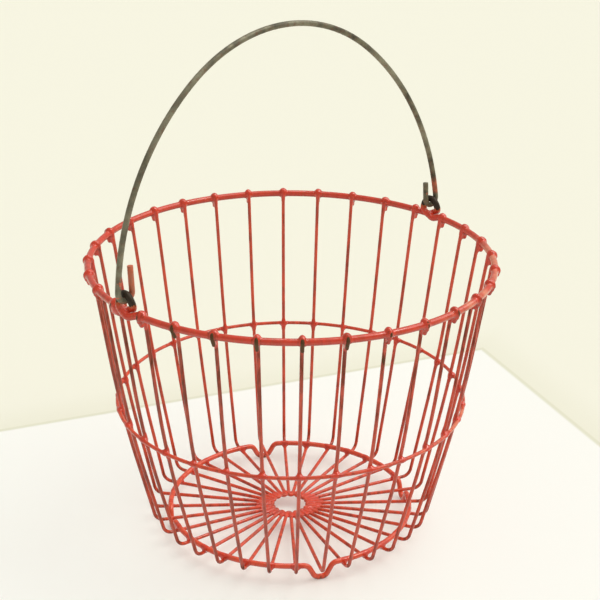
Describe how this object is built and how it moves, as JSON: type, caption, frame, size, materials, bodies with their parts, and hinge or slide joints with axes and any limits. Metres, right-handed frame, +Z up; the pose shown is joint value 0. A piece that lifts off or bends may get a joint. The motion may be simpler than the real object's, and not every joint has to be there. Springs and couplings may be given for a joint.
{
  "type": "fruit picker basket",
  "caption": "Round flared picking basket of welded coated wire, with ribs hooked over a heavy rim, a ring with bent feet, and a swinging arched bail held in two wire eyes.",
  "frame": {"origin": "on the ground, under the middle of the basket", "axes": "+Z up; X through the two eyes, along the axis that the bail swings about; the bail leans a little towards +Y at rest"},
  "size_m": [0.364, 0.3518, 0.4514],
  "materials": {
    "coated_wire": "worn satin red coating over steel wire",
    "bare_wire": "dull olive-grey patina on bare steel wire"
  },
  "bodies": {
    "basket": {"rim_ring": "coated_wire", "mid_hoop": "coated_wire", "foot_ring": "coated_wire", "rib_hairpin_01": "coated_wire", "rib_hairpin_02": "coated_wire", "rib_hairpin_03": "coated_wire", "rib_hairpin_04": "coated_wire", "rib_hairpin_05": "coated_wire", "rib_hairpin_06": "coated_wire", "rib_hairpin_07": "coated_wire", "rib_hairpin_08": "coated_wire", "rib_hairpin_09": "coated_wire", "rib_hairpin_10": "coated_wire", "rib_hairpin_11": "coated_wire", "rib_hairpin_12": "coated_wire", "rib_hairpin_13": "coated_wire", "rib_hairpin_14": "coated_wire", "rib_hairpin_15": "coated_wire", "rib_hairpin_16": "coated_wire"},
    "bail": {"bail": "bare_wire"}
  },
  "joints": [
    {"name": "bail_swing", "type": "hinge", "parent": "basket", "child": "bail", "pos_m": [0, 0, 0.2605], "axis": [1, 0, 0], "range_deg": [-88, 95.8]}
  ]
}
